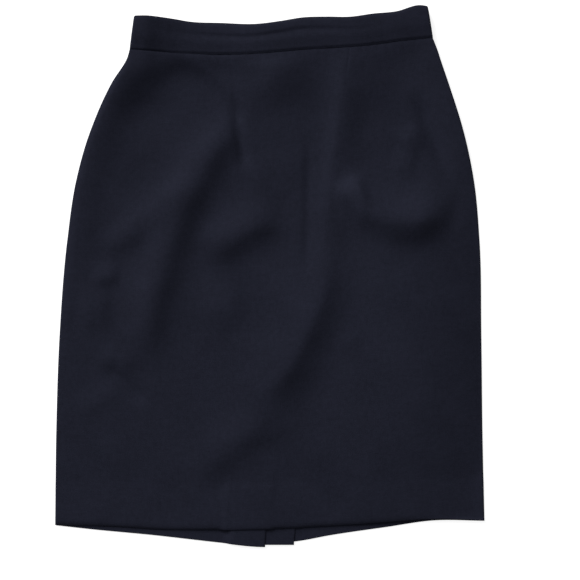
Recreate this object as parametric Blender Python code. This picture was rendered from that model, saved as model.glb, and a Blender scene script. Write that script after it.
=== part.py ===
"""Pencil skirt of firm navy cloth, laid flat on its back with the front side up.

Metres, +Z up, the waist towards +Y. The back lies on the plane z = 0, and the
front lies over it. Each sewn piece is a thin closed solid of its own.
"""

from collections import namedtuple

import bmesh
import bpy
import numpy as np

# Cloth
WALL = 0.0012  # panels of wool crepe with its interfacing
HEM_WALL = 0.0020  # where the hem is turned up
HEM_DEPTH = 0.045  # height of the turned-up hem
HEM_EASE = 0.024  # length over which the wall thickens to the hem
BAND_WALL = 0.0020  # waistband, two layers of cloth round a stiffening
GAP = 0.0003  # between neighbouring pieces

# Front
FRONT_LEVEL = 0.0050  # top of the front where nothing lifts it
SIDE_ROLL = 0.0040  # width of the round edge at each side seam
SEAM_DROP = 0.0033  # the front's top edge lies this far below the band's face
LEFT_CREST = 0.009  # the rise along the left side is highest this far in
RIGHT_CREST = 0.006
RIGHT_REACH = 0.024
SWELL_AT = 0.085  # the swell inside the right side is highest this far in
SWELL_REACH = 0.080
SWELL_DROP = 0.0026  # it falls past the front's level by this much at the side
HEM_RISE = 0.0018  # over the hem's layers, above the vent
HEM_RISE_REACH = 0.052
HEM_RISE_EASE = 0.040
ZIP_RISE = 0.0010
ZIP_RISE_REACH = 0.030
EDGE_ROLL = 0.0040  # width of the round edge along the hem
FRONT_COLUMNS = 44
FRONT_ROWS = 44

# Back seam, zip and vent. The seam runs a little askew, as the skirt lies twisted.
SEAM_WAIST_X = 0.009
SEAM_HEM_X = -0.028
SEAM_WAIST_Y = 0.256
SEAM_HEM_Y = -0.308
ZIP_LENGTH = 0.180
LAP = 0.012  # the left back covers the zip by this much
VENT_LENGTH = 0.180
UNDERLAP = 0.0232  # the right back runs past the seam under the vent
FACING_WIDTH = 0.0556
FACING_WALL = 0.0010
FACING_LEVEL = HEM_WALL + GAP  # it lies on the left back's hem
FACING_BOTTOM_Y = -0.3077
STEP_WIDTH = 0.008  # length over which a piece climbs on to the one below
VENT_MARGIN = 0.016  # the right back has climbed on to the facing this far before the seam
LAP_MARGIN = 0.006  # and on to the lap this far before its edge
VENT_EASE = 0.024  # length over which the vent's layers fade out above it
ZIP_EASE = 0.020
ZIP_MARGIN = 0.036
STACK_STEP = 0.014  # length over which the front climbs on to the vent's layers
STACK_START = 0.048  # it starts to climb this far before the seam
STACK_MARGIN = 0.026  # and has come down this far past the layers
BACK_LOW = 0.0020  # the back's waist lies this much lower than the front's
BACK_COLUMN = 0.005  # spacing of the mesh beside the back seam
BACK_ROWS = 28

# Waistband closure
BAND_OVERLAP = 0.030  # the band's inner end runs past the seam
BAND_OUTER_END = 0.010  # and its outer end runs past it the other way
BAND_LIFT = 0.0038  # underside of the inner end, above the plates of the hook
BAND_CLIMB = 0.016  # length over which the inner end climbs over the outer one
BAND_CLIMB_START = 0.0256  # it starts to climb this far before it
BAND_LEAN_LEFT = 0.0055  # the band is shorter along its top edge
BAND_LEAN_RIGHT = 0.0058
BAND_COLUMNS = 36
BAND_END_REACH = 0.03  # share of its length over which the crease fades at a side
PLATE_WALL = 0.0004
HOOK_SIZE = (0.012, 0.009)
BAR_SIZE = (0.009, 0.007)

NAVY = (0.0115, 0.0125, 0.0240, 1.0)
ZIP_NAVY = (0.0090, 0.0100, 0.0200, 1.0)
STEEL = (0.45, 0.45, 0.46, 1.0)

Table = namedtuple("Table", "at values")


def table(names, *rows):
    """Columns by name. The first one is where each row is measured."""
    columns = dict(zip(names.split(), np.array(rows, float).T))
    first = next(iter(columns))
    return {name: Table(columns[first], column) for name, column in columns.items() if name != first}


# Outline of the sides between hem and waist, at heights along the skirt. The left
# side stands up in a rise of its own reach, and the right one slopes off a swell.
SIDES = table(
    "y left right left_rise left_reach right_rise right_swell",
    (-0.2851, -0.2462, 0.2469, 0.0003, 0.0300, 0.0000, -0.0008),
    (-0.1781, -0.2450, 0.2446, 0.0005, 0.0300, 0.0000, 0.0088),
    (-0.0681, -0.2412, 0.2433, 0.0010, 0.0280, 0.0000, 0.0110),
    (0.0418, -0.2322, 0.2412, 0.0036, 0.0260, 0.0000, 0.0084),
    (0.1105, -0.2217, 0.2347, 0.0052, 0.0300, 0.0016, 0.0020),
    (0.1655, -0.2057, 0.2230, 0.0070, 0.0280, 0.0028, 0.0000),
    (0.2204, -0.1808, 0.2058, 0.0080, 0.0260, 0.0026, 0.0000),
    (0.2500, -0.1622, 0.1957, 0.0062, 0.0380, 0.0014, 0.0000),
    (0.2585, -0.1600, 0.1930, 0.0040, 0.0400, 0.0010, 0.0000),
    (0.2736, -0.1586, 0.1872, 0.0000, 0.0400, 0.0000, 0.0000),
)

# The front's hem sags where it lies over the vent.
FRONT_HEM = table(
    "x y",
    (-0.2462, -0.2849),
    (-0.1803, -0.2862),
    (-0.1254, -0.2896),
    (-0.0590, -0.2902),
    (0.0029, -0.2891),
    (0.0578, -0.2864),
    (0.1311, -0.2813),
    (0.1861, -0.2772),
    (0.2469, -0.2786),
)

# The back's hem hangs lower, most of all beside the vent.
RIGHT_HEM = table(
    "x y",
    (-0.2462, -0.2850),
    (-0.2055, -0.2895),
    (-0.1323, -0.2965),
    (-0.0590, -0.3048),
    (-0.0132, -0.3095),
    (-0.0048, -0.3098),
)
LEFT_HEM = table(
    "x y",
    (-0.0400, -0.3056),
    (0.0326, -0.3033),
    (0.0693, -0.2966),
    (0.1334, -0.2872),
    (0.1884, -0.2795),
    (0.2469, -0.2799),
)

# Waistband at places along its seam: both edges, the height of its face, how far
# below the seam it lifts the front, and how deep the soft crease along it is.
BAND = table(
    "x seam top height reach crease",
    (-0.1598, 0.2586, 0.2947, 0.0228, 0.0360, 0.0000),
    (-0.1430, 0.2570, 0.2952, 0.0210, 0.0360, 0.0000),
    (-0.1254, 0.2556, 0.2938, 0.0166, 0.0360, 0.0002),
    (-0.1080, 0.2549, 0.2918, 0.0134, 0.0400, 0.0004),
    (-0.0980, 0.2545, 0.2903, 0.0126, 0.0440, 0.0006),
    (-0.0560, 0.2535, 0.2886, 0.0118, 0.0500, 0.0011),
    (-0.0150, 0.2537, 0.2878, 0.0122, 0.0520, 0.0013),
    (0.0120, 0.2555, 0.2908, 0.0134, 0.0440, 0.0014),
    (0.0395, 0.2575, 0.2948, 0.0140, 0.0420, 0.0014),
    (0.0670, 0.2597, 0.2957, 0.0136, 0.0440, 0.0010),
    (0.0945, 0.2605, 0.2957, 0.0136, 0.0500, 0.0006),
    (0.1220, 0.2640, 0.2992, 0.0140, 0.0520, 0.0002),
    (0.1494, 0.2680, 0.3027, 0.0136, 0.0520, 0.0000),
    (0.1768, 0.2721, 0.3094, 0.0132, 0.0600, 0.0000),
    (0.1872, 0.2736, 0.3079, 0.0128, 0.0600, 0.0000),
)

# Across the band, from its seam to its top: how far each line of it dips.
BAND_PROFILE = table(
    "across dip crease",
    (0.00, 0.0030, 0.0),
    (0.08, 0.0017, 0.0),
    (0.25, 0.0010, 0.0),
    (0.45, 0.0002, 0.3),
    (0.61, 0.0000, 1.0),
    (0.76, 0.0000, 0.2),
    (0.94, 0.0002, 0.0),
    (1.00, 0.0008, 0.0),
)

# Soft folds of the front. Each crest runs from start to end and bows to the right of
# that way. Widths are to the left and right of it; the fades are shares of its length.
Fold = namedtuple("Fold", "start end bow height left right fade_in fade_out")
FOLDS = (
    Fold((-0.036, 0.192), (-0.150, -0.112), 0.019, 0.0093, 0.021, 0.019, 0.17, 0.25),
    Fold((-0.078, 0.124), (-0.180, 0.035), -0.002, 0.0047, 0.022, 0.017, 0.35, 0.40),
    Fold((-0.196, 0.028), (-0.137, 0.060), 0.000, 0.0036, 0.016, 0.014, 0.40, 0.40),
    Fold((-0.084, 0.022), (0.018, 0.080), 0.002, 0.0084, 0.024, 0.020, 0.35, 0.38),
    Fold((0.099, 0.294), (0.060, -0.027), 0.006, 0.0061, 0.024, 0.012, 0.32, 0.45),
    Fold((0.072, 0.050), (-0.024, -0.170), -0.018, 0.0124, 0.032, 0.066, 0.40, 0.35),
    Fold((0.030, -0.139), (-0.091, -0.245), 0.000, 0.0048, 0.020, 0.026, 0.35, 0.35),
    Fold((0.070, 0.100), (0.217, 0.088), 0.026, 0.0148, 0.030, 0.022, 0.30, 0.32),
    Fold((0.070, 0.090), (0.114, 0.106), 0.000, 0.0056, 0.012, 0.017, 0.35, 0.35),
    Fold((0.088, 0.272), (0.082, 0.165), 0.000, 0.0048, 0.055, 0.022, 0.15, 0.60),
    Fold((-0.006, 0.262), (0.010, 0.190), 0.000, 0.0052, 0.050, 0.028, 0.15, 0.50),
    Fold((-0.085, 0.252), (-0.172, 0.156), 0.000, -0.0046, 0.045, 0.028, 0.14, 0.45),
    Fold((0.145, 0.150), (0.177, 0.166), 0.000, 0.0036, 0.012, 0.016, 0.40, 0.40),
    Fold((-0.208, -0.003), (-0.168, 0.001), 0.000, 0.0032, 0.014, 0.010, 0.40, 0.40),
    Fold((-0.224, -0.042), (-0.176, -0.040), 0.000, 0.0032, 0.024, 0.017, 0.40, 0.40),
    Fold((-0.085, -0.048), (-0.022, -0.021), 0.000, 0.0044, 0.028, 0.026, 0.40, 0.40),
)


def ease(t):
    """0 to 1, flat at both ends."""
    t = np.clip(t, 0.0, 1.0)
    return t * t * (3 - 2 * t)


def read(column, at):
    """Smooth curve through a table's column."""
    knots, values = column
    slopes = np.gradient(values, knots)
    at = np.clip(at, knots[0], knots[-1])
    i = np.clip(np.searchsorted(knots, at, side="right") - 1, 0, len(knots) - 2)
    length = knots[i + 1] - knots[i]
    t = (at - knots[i]) / length
    start, end = values[i], values[i + 1]
    lead, trail = slopes[i] * length, slopes[i + 1] * length
    bend = (2 * start + lead - 2 * end + trail) * t**3 + (3 * end - 3 * start - 2 * lead - trail) * t**2
    return bend + lead * t + start


def fold_height(fold, x, y):
    """Height that one fold adds: round across, and easing out at both ends."""
    (x0, y0), (x1, y1) = fold.start, fold.end
    length = np.hypot(x1 - x0, y1 - y0)
    along_x, along_y = (x1 - x0) / length, (y1 - y0) / length
    along = ((x - x0) * along_x + (y - y0) * along_y) / length
    across = (x - x0) * along_y - (y - y0) * along_x
    inside = np.clip(along, 0.0, 1.0)
    across = across - fold.bow * 4 * inside * (1 - inside)
    width = np.where(across > 0, fold.right, fold.left)
    ends = ease(along / fold.fade_in) * ease((1 - along) / fold.fade_out)
    return fold.height * ends * np.exp(-((across / width) ** 2))


def seam_x(y):
    """The back seam at a height."""
    return SEAM_HEM_X + (SEAM_WAIST_X - SEAM_HEM_X) * (y - SEAM_HEM_Y) / (SEAM_WAIST_Y - SEAM_HEM_Y)


def hem_wall(y, hem_y):
    """Wall of a panel: thicker over the turned-up hem."""
    return WALL + (HEM_WALL - WALL) * (1 - ease((y - hem_y - HEM_DEPTH) / HEM_EASE))


def near(distance, width):
    return np.exp(-((distance / width) ** 2))


def vent_share(y):
    """1 beside the vent, easing to 0 above it."""
    return 1 - ease((y - (SEAM_HEM_Y + VENT_LENGTH)) / VENT_EASE)


def zip_share(y):
    """1 beside the zip, easing to 0 below it."""
    return ease((y - (SEAM_WAIST_Y - ZIP_LENGTH - ZIP_MARGIN)) / ZIP_EASE)


def layers_below(x, y):
    """Top of what the front lies on: the back, with the vent's facing and underlap."""
    from_seam = x - seam_x(y)
    over_facing = FACING_WALL + GAP
    over_vent = FACING_LEVEL + over_facing
    begun = ease((from_seam + STACK_START) / STACK_STEP)
    underlapped = ease((UNDERLAP + STACK_MARGIN - from_seam) / STACK_STEP)
    faced = ease((FACING_WIDTH + STACK_MARGIN - from_seam) / STACK_STEP)
    stacked = over_facing * faced + (over_vent - over_facing) * underlapped
    return hem_wall(y, read(FRONT_HEM["y"], x)) + stacked * begun * vent_share(y)


def lowest_front(x, y):
    """The front can't lie lower than this."""
    return layers_below(x, y) + hem_wall(y, read(FRONT_HEM["y"], x)) + 2 * GAP


def right_swell(from_right, y):
    """Swell inside the right side, and the slope from it to the side seam."""
    swell = read(SIDES["right_swell"], y)
    inside = swell * near(np.maximum(from_right - SWELL_AT, 0), SWELL_REACH)
    fall = np.clip(1 - from_right / SWELL_AT, 0, 1) ** 2
    return inside - (swell + SWELL_DROP * ease(swell / 0.003)) * fall


def front_height(x, y):
    """Top of the front."""
    from_left = x - read(SIDES["left"], y) - LEFT_CREST
    from_right = read(SIDES["right"], y) - x
    above_hem = y - read(FRONT_HEM["y"], x)
    below_waist = read(BAND["seam"], x) - y
    lifted = read(BAND["height"], x) - SEAM_DROP - FRONT_LEVEL
    height = FRONT_LEVEL + lifted * near(below_waist, read(BAND["reach"], x))
    left_width = np.where(from_left > 0, read(SIDES["left_reach"], y), LEFT_CREST * 1.2)
    height = height + read(SIDES["left_rise"], y) * near(from_left, left_width)
    height = height + read(SIDES["right_rise"], y) * near(from_right - RIGHT_CREST, RIGHT_REACH)
    height = height + right_swell(from_right, y)
    in_hem = 1 - ease((above_hem - HEM_DEPTH / 2) / HEM_RISE_EASE)
    height = height + HEM_RISE * in_hem * near(x - seam_x(y) - UNDERLAP / 2, HEM_RISE_REACH)
    height = height + ZIP_RISE * zip_share(y) * near(x - seam_x(y), ZIP_RISE_REACH)
    for fold in FOLDS:
        height = height + fold_height(fold, x, y)
    return np.maximum(height, lowest_front(x, y))


def patch(left, right, bottom, top, u, v):
    """Grid between four edges that meet at their corners, rows along v and columns along u."""
    u, v = u[None, :, None], v[:, None, None]
    sides = (1 - u) * left[:, None] + u * right[:, None]
    ends = (1 - v) * bottom[None] + v * top[None]
    corners = (1 - v) * ((1 - u) * bottom[0] + u * bottom[-1]) + v * ((1 - u) * top[0] + u * top[-1])
    return sides + ends - corners


def points(*coordinates):
    return np.stack(np.broadcast_arrays(*coordinates), axis=-1).astype(float)


def outward(grid):
    """Unit normals of a grid of points, on the side that sees its columns run to the right."""
    normal = np.cross(np.gradient(grid, axis=1), np.gradient(grid, axis=0))
    return normal / np.linalg.norm(normal, axis=-1, keepdims=True)


def principled(name, colour, roughness, metallic):
    material = bpy.data.materials.new(name)
    material.use_nodes = True
    shader = material.node_tree.nodes["Principled BSDF"]
    shader.inputs["Base Color"].default_value = colour
    shader.inputs["Roughness"].default_value = roughness
    shader.inputs["Metallic"].default_value = metallic
    material.diffuse_color = colour
    return material


def add_object(name, mesh_maker, colour, roughness=0.85, metallic=0.0):
    """One closed body with its own material, its origin at the middle of its base."""
    mesh_maker.normal_update()
    corners = np.array([vertex.co for vertex in mesh_maker.verts])
    middle = (corners.min(axis=0) + corners.max(axis=0)) / 2
    middle[2] = corners[:, 2].min()
    bmesh.ops.translate(mesh_maker, verts=mesh_maker.verts, vec=-middle)
    mesh = bpy.data.meshes.new(name)
    mesh_maker.to_mesh(mesh)
    mesh_maker.free()
    mesh.shade_smooth()
    mesh.set_sharp_from_angle(angle=np.radians(40))
    mesh.materials.append(principled(name, colour, roughness, metallic))
    made = bpy.data.objects.new(name, mesh)
    made.location = middle
    bpy.context.scene.collection.objects.link(made)
    return made


def walled(outer, inner):
    """Closed wall between two grids of points; the outer one is seen from outside."""
    maker = bmesh.new()
    rows, columns = outer.shape[:2]
    out = [[maker.verts.new(point) for point in row] for row in outer]
    back = [[maker.verts.new(point) for point in row] for row in inner]
    for i in range(rows - 1):
        for j in range(columns - 1):
            maker.faces.new((out[i][j], out[i][j + 1], out[i + 1][j + 1], out[i + 1][j]))
            maker.faces.new((back[i][j], back[i + 1][j], back[i + 1][j + 1], back[i][j + 1]))
    for i in range(rows - 1):
        maker.faces.new((out[i][0], out[i + 1][0], back[i + 1][0], back[i][0]))
        maker.faces.new((out[i + 1][-1], out[i][-1], back[i][-1], back[i + 1][-1]))
    for j in range(columns - 1):
        maker.faces.new((out[0][j + 1], out[0][j], back[0][j], back[0][j + 1]))
        maker.faces.new((out[-1][j], out[-1][j + 1], back[-1][j + 1], back[-1][j]))
    return maker


def side_edge(side, hem_y, waist_y, v):
    y = hem_y + (waist_y - hem_y) * v
    return points(read(SIDES[side], y), y)


def make_front():
    """The front, cut in one piece with its darts, rolling down to a seam at each side."""
    hem_left, hem_right = SIDES["left"].values[0], SIDES["right"].values[0]
    waist_left, waist_right = BAND["seam"].at[0], BAND["seam"].at[-1]
    edge_share = EDGE_ROLL / (SEAM_WAIST_Y - SEAM_HEM_Y)
    v = np.concatenate([[0.0], np.linspace(edge_share, 1.0, FRONT_ROWS)])
    roll = SIDE_ROLL / (hem_right - hem_left)
    turns = np.radians([90.0, 60.0, 30.0])
    rolled = roll * (1 - np.sin(turns))
    flat = np.linspace(roll, 1 - roll, FRONT_COLUMNS + 1)
    u = np.concatenate([rolled, flat, 1 - rolled[::-1]])
    hem_x = hem_left + (hem_right - hem_left) * u
    waist_x = waist_left + (waist_right - waist_left) * u
    bottom = points(hem_x, read(FRONT_HEM["y"], hem_x))
    top = points(waist_x, read(BAND["seam"], waist_x) - GAP / 2)
    left = side_edge("left", bottom[0, 1], top[0, 1], v)
    right = side_edge("right", bottom[-1, 1], top[-1, 1], v)
    left[-1], right[-1] = top[0], top[-1]
    plan = patch(left, right, bottom, top, u, v)
    height = front_height(plan[..., 0], plan[..., 1])
    height[0] = lowest_front(plan[0, :, 0], plan[0, :, 1])
    left_seam = hem_wall(plan[:, 0, 1], bottom[0, 1]) + GAP
    right_seam = hem_wall(plan[:, -1, 1], bottom[-1, 1]) + GAP
    first = len(turns)
    for k, turn in enumerate(turns):
        height[:, k] = left_seam + (height[:, first] - left_seam) * np.cos(turn)
        height[:, -1 - k] = right_seam + (height[:, -1 - first] - right_seam) * np.cos(turn)
    outer = np.concatenate([plan, height[..., None]], axis=-1)
    wall = hem_wall(plan[..., 1], read(FRONT_HEM["y"], plan[..., 0]))
    inner = outer - outward(outer) * wall[..., None]
    inner[0, :, :2], inner[-1, :, 1] = outer[0, :, :2], outer[-1, :, 1]
    inner[..., 2] = np.maximum(inner[..., 2], wall + GAP)
    for k in (0, -1):
        inner[:, k, 2] = outer[:, k, 2]
    add_object("front_panel", walled(outer, inner), NAVY)


def back_waist_y(x):
    """The back's waist seam lies a little lower than the front's, but for its ends."""
    left, right = BAND["seam"].at[0], BAND["seam"].at[-1]
    return read(BAND["seam"], x) - BACK_LOW * np.sin(np.pi * np.clip((x - left) / (right - left), 0, 1))


def back_plan(side, hem, centre_x, v, spaced):
    """Plan of one back, from its side seam to the edge at the back seam."""
    waist_side = BAND["seam"].at[0 if side == "left" else -1]
    hem_side = SIDES[side].values[0]
    hem_y = read(hem["y"], centre_x(SEAM_HEM_Y))
    waist_y = back_waist_y(centre_x(SEAM_WAIST_Y)) - GAP / 2
    hem_x = hem_side + (centre_x(hem_y) - hem_side) * spaced
    waist_x = waist_side + (centre_x(waist_y) - waist_side) * spaced
    bottom = points(hem_x, read(hem["y"], hem_x))
    top = points(waist_x, back_waist_y(waist_x) - GAP / 2)
    seam = side_edge(side, bottom[0, 1], top[0, 1], v)
    seam[-1] = top[0]
    centre_y = bottom[-1, 1] + (top[-1, 1] - bottom[-1, 1]) * v
    centre = points(centre_x(centre_y), centre_y)
    centre[0], centre[-1] = bottom[-1], top[-1]
    return patch(seam, centre, bottom, top, spaced, v)


def spacing(width, fine_width, fine_column):
    """Shares of a panel's width: wide columns first, narrow ones near the back seam."""
    fine = np.linspace(fine_width, 0.0, round(fine_width / fine_column) + 1)
    coarse = np.linspace(width, fine_width, 12)[:-1]
    return 1 - np.concatenate([coarse, fine]) / width


def right_centre_x(y):
    """Edge of the right back: at the seam, and past it below the vent's slanted top."""
    vent_top = SEAM_HEM_Y + VENT_LENGTH
    return seam_x(y) - GAP + UNDERLAP * np.clip((vent_top - y) / UNDERLAP, 0, 1)


def left_centre_x(y):
    """Edge of the left back: at the seam, and past it beside the zip, where it laps over."""
    zip_end = SEAM_WAIST_Y - ZIP_LENGTH
    return seam_x(y) - LAP * np.clip((y - zip_end) / LAP, 0, 1)


def right_lift(x, y):
    """How far the right back is lifted by what it laps over."""
    over_facing = FACING_LEVEL + FACING_WALL + GAP
    on_facing = ease((x - seam_x(y) + VENT_MARGIN + STEP_WIDTH) / STEP_WIDTH)
    on_lap = ease((x - seam_x(y) + LAP + LAP_MARGIN + STEP_WIDTH) / STEP_WIDTH)
    return over_facing * vent_share(y) * on_facing + (WALL + GAP) * zip_share(y) * on_lap


def make_right_back():
    """The back on the wearer's right, at -X, with the vent's underlap cut on."""
    v = np.linspace(0.0, 1.0, BACK_ROWS + 1)
    plan = back_plan("left", RIGHT_HEM, right_centre_x, v, spacing(0.24, 0.050, BACK_COLUMN))
    x, y = plan[..., 0], plan[..., 1]
    hem_y = read(RIGHT_HEM["y"], x)
    under = right_lift(x, y)
    bottom = np.concatenate([plan, under[..., None]], axis=-1)
    top = np.concatenate([plan, (under + hem_wall(y, hem_y))[..., None]], axis=-1)
    add_object("back_right", walled(top, bottom), NAVY)


def make_left_back():
    """The back on the wearer's left, at +X. It lies flat, and its edge covers the zip."""
    v = np.linspace(0.0, 1.0, BACK_ROWS + 1)
    plan = back_plan("right", LEFT_HEM, left_centre_x, v, spacing(0.24, 0.012, LAP))[:, ::-1]
    x, y = plan[..., 0], plan[..., 1]
    wall = hem_wall(y, read(LEFT_HEM["y"], x))
    bottom = np.concatenate([plan, np.zeros_like(wall)[..., None]], axis=-1)
    top = np.concatenate([plan, wall[..., None]], axis=-1)
    add_object("back_left", walled(top, bottom), NAVY)


def make_vent_facing():
    """The strip that faces the vent's edge, flat on the left back, its top end slanted."""
    across = np.linspace(0.0, 1.0, 5)
    v = np.linspace(0.0, 1.0, 13)[:, None]
    vent_top = SEAM_HEM_Y + VENT_LENGTH - 0.010
    top_y = vent_top - 0.6 * FACING_WIDTH * across
    y = FACING_BOTTOM_Y + (top_y - FACING_BOTTOM_Y) * v
    x = seam_x(y) + 0.001 + (FACING_WIDTH - 0.001) * across
    top, bottom = points(x, y, FACING_LEVEL + FACING_WALL), points(x, y, FACING_LEVEL)
    add_object("vent_facing", walled(top, bottom), NAVY)


def band_edge(u, across):
    """Plan of the band at a share of its length and of its height."""
    left, right = BAND["seam"].at[0], BAND["seam"].at[-1]
    x = left + (right - left) * u
    lean = BAND_LEAN_LEFT * (1 - u) - BAND_LEAN_RIGHT * u
    seam, top = read(BAND["seam"], x) + GAP / 2, read(BAND["top"], x)
    return x + lean * across, seam + (top - seam) * across


def make_waistband():
    """One strip round the waist, folded flat at both sides, its ends lapped over the back seam."""
    across = BAND_PROFILE["dip"].at
    left, right = BAND["seam"].at[0], BAND["seam"].at[-1]
    length = right - left
    roll = SIDE_ROLL / length
    turns = np.radians([0.0, 30.0, 65.0, 115.0, 150.0, 180.0])
    inner_end = (seam_x(SEAM_WAIST_Y) + BAND_OVERLAP - left) / length
    outer_end = (seam_x(SEAM_WAIST_Y) - BAND_OUTER_END - left) / length
    front = np.linspace(roll, 1 - roll, BAND_COLUMNS + 1)[1:-1]
    inner_back = np.concatenate([np.linspace(inner_end, outer_end - 0.05, 11), np.linspace(0.36, 0.04, 9)])
    outer_back = np.linspace(0.96, outer_end, 13)
    # Stations in order: inner end, left side, front, right side, outer end.
    around = np.concatenate(
        [
            inner_back,
            roll * (1 - np.sin(turns[::-1])),
            front,
            1 - roll * (1 - np.sin(turns)),
            outer_back,
        ]
    )
    # 1 on the front's face and 0 on the floor.
    face = np.concatenate(
        [
            np.zeros(len(inner_back)),
            (1 + np.cos(turns[::-1])) / 2,
            np.ones(len(front)),
            (1 + np.cos(turns)) / 2,
            np.zeros(len(outer_back)),
        ]
    )
    u, share = around[None, :], face[None, :]
    x, y = band_edge(u, across[:, None])
    height = read(BAND["height"], left + length * u)
    ends = near(u, BAND_END_REACH) + near(1 - u, BAND_END_REACH)
    dip = BAND_PROFILE["dip"].values[:, None]
    crease = BAND_PROFILE["crease"].values[:, None] * read(BAND["crease"], left + length * u)
    z = share * (height - dip - crease * (1 - np.clip(ends, 0, 1)))
    y = y - BACK_LOW * (1 - share) * np.sin(np.pi * np.clip(u, 0, 1))
    lap = np.zeros(len(around))
    past_start = (inner_back - outer_end) * length + BAND_CLIMB_START
    lap[: len(inner_back)] = BAND_LIFT * ease(past_start / BAND_CLIMB)
    outer = points(x, y, z + lap[None, :])
    inner = outer - outward(outer) * BAND_WALL
    for k in (0, -1):
        inner[:, k, 0] = outer[:, k, 0]
    inner[0, :, 1], inner[-1, :, 1] = outer[0, :, 1], outer[-1, :, 1]
    add_object("waistband", walled(outer, inner), NAVY)


def make_zip():
    """Lapped zip at the back seam: tapes and coil in one strip, and a slider above it."""
    # Across the zip: distance from the seam, underside and top.
    profile = table(
        "x under over",
        (-0.0100, 0.0031, 0.0036),
        (-0.0005, 0.0031, 0.0036),
        (0.0010, 0.0021, 0.0039),
        (0.0050, 0.0021, 0.0039),
        (0.0065, 0.0027, 0.0032),
        (0.0095, 0.0016, 0.0021),
        (0.0150, 0.0016, 0.0021),
    )
    offset = profile["under"].at
    top_y = float(back_waist_y(seam_x(SEAM_WAIST_Y))) - 0.013
    bottom_y = SEAM_WAIST_Y - ZIP_LENGTH + 0.004
    y = np.linspace(bottom_y, top_y, 9)[:, None]
    x = seam_x(y) + offset
    over, under = profile["over"].values, profile["under"].values
    add_object("zip_tape", walled(points(x, y, over), points(x, y, under)), ZIP_NAVY, 0.7)

    width, length, low, high = 0.0065, 0.0085, 0.0018, 0.0046
    slider = bmesh.new()
    bmesh.ops.create_cube(slider, size=1.0)
    bmesh.ops.scale(slider, verts=slider.verts, vec=(width, length, high - low))
    bmesh.ops.bevel(slider, geom=slider.edges, offset=0.0008, segments=2, affect="EDGES")
    centre_y = top_y + 0.001 + length / 2
    centre_x = seam_x(centre_y) + 0.004
    bmesh.ops.translate(slider, verts=slider.verts, vec=(centre_x, centre_y, (low + high) / 2))
    add_object("zip_slider", slider, STEEL, 0.35, 1.0)


def make_plate(name, size, x, y, z):
    """Flat steel plate with rounded corners."""
    plate = bmesh.new()
    bmesh.ops.create_cube(plate, size=1.0)
    bmesh.ops.scale(plate, verts=plate.verts, vec=(*size, PLATE_WALL))
    ends = [(edge, edge.verts[0].co.z, edge.verts[1].co.z) for edge in plate.edges]
    upright = [edge for edge, start, end in ends if abs(start - end) > PLATE_WALL / 2]
    bmesh.ops.bevel(plate, geom=upright, offset=0.0015, segments=3, affect="EDGES")
    bmesh.ops.translate(plate, verts=plate.verts, vec=(x, y, z + PLATE_WALL / 2))
    add_object(name, plate, STEEL, 0.35, 1.0)


def make_closure():
    """Trouser hook and bar, between the lapped ends of the band."""
    x = seam_x(SEAM_WAIST_Y) + 0.010
    y = float(read(BAND["seam"], x) + read(BAND["top"], x)) / 2 - BACK_LOW
    make_plate("waist_hook", HOOK_SIZE, x, y, BAND_WALL + GAP)
    make_plate("waist_bar", BAR_SIZE, x + 0.001, y, BAND_LIFT - GAP - PLATE_WALL)


for thing in list(bpy.data.objects):
    bpy.data.objects.remove(thing, do_unlink=True)
make_left_back()
make_vent_facing()
make_right_back()
make_zip()
make_waistband()
make_closure()
make_front()
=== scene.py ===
# Pencil skirt laid flat, front side up: navy wool crepe on a pale floor.
import math

import bpy
import numpy as np
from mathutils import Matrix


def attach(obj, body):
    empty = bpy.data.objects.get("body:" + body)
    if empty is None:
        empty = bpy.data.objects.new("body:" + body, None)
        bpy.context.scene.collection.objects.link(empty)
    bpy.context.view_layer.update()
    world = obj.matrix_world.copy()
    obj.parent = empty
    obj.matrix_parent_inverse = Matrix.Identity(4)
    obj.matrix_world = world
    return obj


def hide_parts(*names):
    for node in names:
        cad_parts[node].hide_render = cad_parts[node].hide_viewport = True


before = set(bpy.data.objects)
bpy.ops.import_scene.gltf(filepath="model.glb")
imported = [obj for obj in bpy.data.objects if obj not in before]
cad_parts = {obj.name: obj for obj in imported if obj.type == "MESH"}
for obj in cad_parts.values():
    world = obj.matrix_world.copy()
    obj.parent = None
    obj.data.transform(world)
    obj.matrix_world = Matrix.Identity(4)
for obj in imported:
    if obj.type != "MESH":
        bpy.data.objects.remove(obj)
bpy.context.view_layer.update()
print("frame loaded:", ", ".join(sorted(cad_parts)))


# shape helpers, all in metres


def easeInOut(t):
    t = np.clip(t, 0.0, 1.0)
    return t * t * (3 - 2 * t)


def bell(distance, width):
    return np.exp(-((distance / width) ** 2))


def readTable(table, column, at):
    # smooth curve through one column, measured along the table's first one
    knots = np.array(next(iter(table.values())))
    values = np.array(table[column])
    slopes = np.gradient(values, knots)
    at = np.clip(at, knots[0], knots[-1])
    i = np.clip(np.searchsorted(knots, at, side="right") - 1, 0, len(knots) - 2)
    step = knots[i + 1] - knots[i]
    t = (at - knots[i]) / step
    start, end = values[i], values[i + 1]
    lead, trail = slopes[i] * step, slopes[i + 1] * step
    cubic = (2 * start + lead - 2 * end + trail) * t**3
    square = (3 * end - 3 * start - 2 * lead - trail) * t**2
    return cubic + square + lead * t + start


latticeSize = 96  # softNoise repeats after this many dents


def softNoise(x, y, size, seed):
    # smooth dents from -1 to 1, about one every size metres
    lattice = np.random.default_rng(seed).uniform(-1, 1, (latticeSize + 1, latticeSize + 1))
    gridX, gridY = x / size + 40, y / size + 40
    column, row = np.floor(gridX).astype(int), np.floor(gridY).astype(int)
    partX, partY = easeInOut(gridX - column), easeInOut(gridY - row)
    column, row = column % latticeSize, row % latticeSize
    low = lattice[row, column] * (1 - partX) + lattice[row, column + 1] * partX
    high = lattice[row + 1, column] * (1 - partX) + lattice[row + 1, column + 1] * partX
    return low * (1 - partY) + high * partY


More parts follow.
